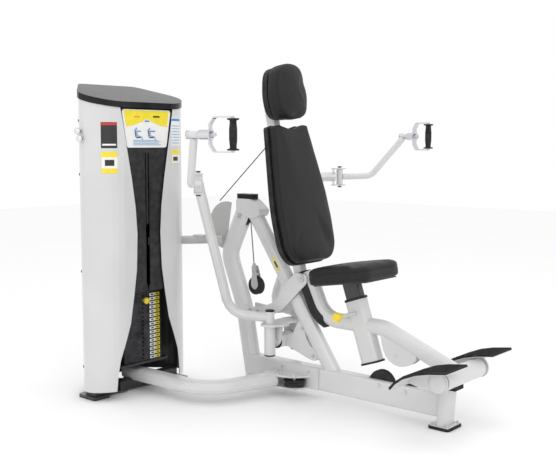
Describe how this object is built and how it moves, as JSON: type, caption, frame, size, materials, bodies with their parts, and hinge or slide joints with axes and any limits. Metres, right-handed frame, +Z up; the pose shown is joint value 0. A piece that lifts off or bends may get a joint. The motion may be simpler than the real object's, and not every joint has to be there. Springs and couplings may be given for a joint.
{
  "type": "chest press machine",
  "caption": "Seated chest press with a rocking seat carriage, converging arms with swivelling stirrup grips, foot plates and a cased weight stack joined by a base tube.",
  "frame": {"origin": "floor level, under the middle of the machine's bounding box", "axes": "+X the way the seated user faces, +Y to the user's left, +Z up"},
  "size_m": [1.838, 1.62, 1.6139],
  "materials": {
    "frame_paint": "glossy off-white powder coat",
    "grey_paint": "satin grey paint",
    "dark_steel": "satin black paint",
    "bright_steel": "bright brushed steel",
    "chrome": "polished chrome",
    "black_plastic": "fine textured black plastic",
    "upholstery": "grained black vinyl with stitched seams",
    "rubber": "ribbed black rubber",
    "weight_iron": "black coated iron",
    "knob_yellow": "glossy yellow plastic",
    "cable_black": "black sheathed steel cable",
    "sign_sheet": "printed white and yellow sheet"
  },
  "bodies": {
    "frame": {"main_beam": "frame_paint", "front_post": "frame_paint", "front_foot": "rubber", "rear_leg": "frame_paint", "front_leg": "frame_paint", "apex_block": "frame_paint", "apex_cap": "black_plastic", "post_saddle": "rubber", "cable_sector": "grey_paint", "pivot_plates": "frame_paint", "pivot_axle": "bright_steel", "arm_bracket": "frame_paint", "base_tube": "frame_paint", "shroud_right": "frame_paint", "shroud_left": "frame_paint", "tower_cap": "black_plastic", "stack_shield": "black_plastic", "placard": "sign_sheet", "tower_frame": "dark_steel", "guide_rod_right": "chrome", "guide_rod_left": "chrome", "resting_plates": "weight_iron", "tower_brace": "grey_paint", "stack_cable": "cable_black", "apex_cable": "cable_black"},
    "post_cable": {"back_cable": "cable_black"},
    "apex_wheel": {"apex_pulley": "black_plastic"},
    "base_wheel": {"base_pulley": "black_plastic"},
    "beam_wheel_rear": {"beam_pulley_rear": "black_plastic"},
    "beam_wheel_front": {"beam_pulley_front": "black_plastic"},
    "tower_wheel": {"tower_pulley": "black_plastic"},
    "stack": {"top_plate": "weight_iron", "lifted_plates": "weight_iron"},
    "selector": {"selector_pin": "knob_yellow"},
    "hanging_block": {"floating_clevis": "grey_paint"},
    "hanging_wheel": {"floating_pulley": "black_plastic"},
    "carriage": {"carriage_tube": "frame_paint", "sleeve_collar": "black_plastic", "spine_cover": "black_plastic", "back_post": "frame_paint", "back_pad": "upholstery", "back_shell": "black_plastic", "head_pad": "upholstery", "head_shell": "black_plastic", "cross_tube": "frame_paint", "foot_plate_right": "rubber", "foot_plate_left": "rubber"},
    "carriage_wheel": {"carriage_pulley": "black_plastic"},
    "seat": {"seat_post": "dark_steel", "seat_pad": "upholstery"},
    "seat_pin": {"pull_pin": "knob_yellow"},
    "press_yoke": {"yoke": "frame_paint"},
    "right_arm": {"arm_right": "frame_paint"},
    "left_arm": {"arm_left": "frame_paint"},
    "right_handle": {"handle_tube_right": "frame_paint"},
    "left_handle": {"handle_tube_left": "frame_paint"},
    "right_hand": {"stirrup_right": "bright_steel", "grip_right": "rubber"},
    "left_hand": {"stirrup_left": "bright_steel", "grip_left": "rubber"}
  },
  "joints": [
    {"name": "press_swing", "type": "hinge", "parent": "frame", "child": "press_yoke", "pos_m": [-0.164, 0, 0.255], "axis": [0, 1, 0], "range_deg": [0, 25]},
    {"name": "carriage_rock", "type": "hinge", "parent": "frame", "child": "carriage", "pos_m": [-0.014, 0, 0.579], "axis": [0, -1, 0], "range_deg": [0, 12]},
    {"name": "right_arm_converge", "type": "hinge", "parent": "press_yoke", "child": "right_arm", "pos_m": [-0.164, -0.1, 0.378], "axis": [0, 0, 1], "range_deg": [0, 12.2]},
    {"name": "left_arm_converge", "type": "hinge", "parent": "press_yoke", "child": "left_arm", "pos_m": [-0.164, 0.1, 0.378], "axis": [0, 0, -1], "range_deg": [0, 12.2]},
    {"name": "right_handle_swing", "type": "hinge", "parent": "right_arm", "child": "right_handle", "pos_m": [-0.214, -0.53, 1.045], "axis": [0, 0, 1], "range_deg": [-18, 18]},
    {"name": "left_handle_swing", "type": "hinge", "parent": "left_arm", "child": "left_handle", "pos_m": [-0.214, 0.53, 1.045], "axis": [0, 0, -1], "range_deg": [-18, 18]},
    {"name": "right_grip_turn", "type": "hinge", "parent": "right_handle", "child": "right_hand", "pos_m": [0.027, -0.79, 1.26], "axis": [0.9648, 0.2631, 0], "range_deg": [-90, 90]},
    {"name": "left_grip_turn", "type": "hinge", "parent": "left_handle", "child": "left_hand", "pos_m": [0.027, 0.79, 1.26], "axis": [0.9648, -0.2631, 0], "range_deg": [-90, 90]},
    {"name": "stack_lift", "type": "slide", "parent": "frame", "child": "stack", "axis": [0, 0, 1], "range_m": [0, 0.361], "deforming": ["stack_cable"]},
    {"name": "selector_pull", "type": "slide", "parent": "stack", "child": "selector", "axis": [1, 0, 0], "range_m": [0, 0.06]},
    {"name": "block_lift", "type": "slide", "parent": "frame", "child": "hanging_block", "axis": [-0.16, 0, 0.9871], "range_m": [0, 0.181], "deforming": ["apex_cable"]},
    {"name": "seat_height", "type": "slide", "parent": "carriage", "child": "seat", "axis": [-0.3289, 0, 0.9444], "range_m": [0, 0.1]},
    {"name": "seat_pin_pull", "type": "slide", "parent": "carriage", "child": "seat_pin", "axis": [0, -1, 0], "range_m": [0, 0.015], "stiffness_N_per_m": 400, "springref_m": -0.01},
    {"name": "apex_pulley_spin", "type": "hinge", "parent": "frame", "child": "apex_wheel", "pos_m": [-0.424, 0, 0.858], "axis": [0, 1, 0], "continuous": true},
    {"name": "base_pulley_spin", "type": "hinge", "parent": "frame", "child": "base_wheel", "pos_m": [-0.016, -0.092, 0.08], "axis": [0, 0, 1], "continuous": true},
    {"name": "beam_pulley_rear_spin", "type": "hinge", "parent": "frame", "child": "beam_wheel_rear", "pos_m": [0.431, 0, 0.132], "axis": [0, 1, 0], "continuous": true},
    {"name": "beam_pulley_front_spin", "type": "hinge", "parent": "frame", "child": "beam_wheel_front", "pos_m": [0.571, 0, 0.128], "axis": [0, 1, 0], "continuous": true},
    {"name": "post_cable_run", "type": "slide", "parent": "frame", "child": "post_cable", "axis": [-0.7545, 0, -0.6563], "range_m": [0, 0.165]},
    {"name": "tower_pulley_spin", "type": "hinge", "parent": "frame", "child": "tower_wheel", "pos_m": [-0.764, -0.469, 1.37], "axis": [0, 1, 0], "continuous": true},
    {"name": "hanging_pulley_spin", "type": "hinge", "parent": "hanging_block", "child": "hanging_wheel", "pos_m": [-0.34, 0, 0.506], "axis": [0, 1, 0], "continuous": true},
    {"name": "carriage_pulley_spin", "type": "hinge", "parent": "carriage", "child": "carriage_wheel", "pos_m": [0.516, 0, 0.279], "axis": [0, 1, 0], "continuous": true}
  ],
  "couplings": [
    {"joint": "post_cable_run", "follows": "press_swing", "m_per_rad": 0.375},
    {"joint": "carriage_rock", "follows": "press_swing", "ratio": 0.48},
    {"joint": "right_arm_converge", "follows": "press_swing", "ratio": 0.48},
    {"joint": "left_arm_converge", "follows": "press_swing", "ratio": 0.48},
    {"joint": "stack_lift", "follows": "press_swing", "m_per_rad": 0.825},
    {"joint": "block_lift", "follows": "press_swing", "m_per_rad": 0.4126}
  ]
}
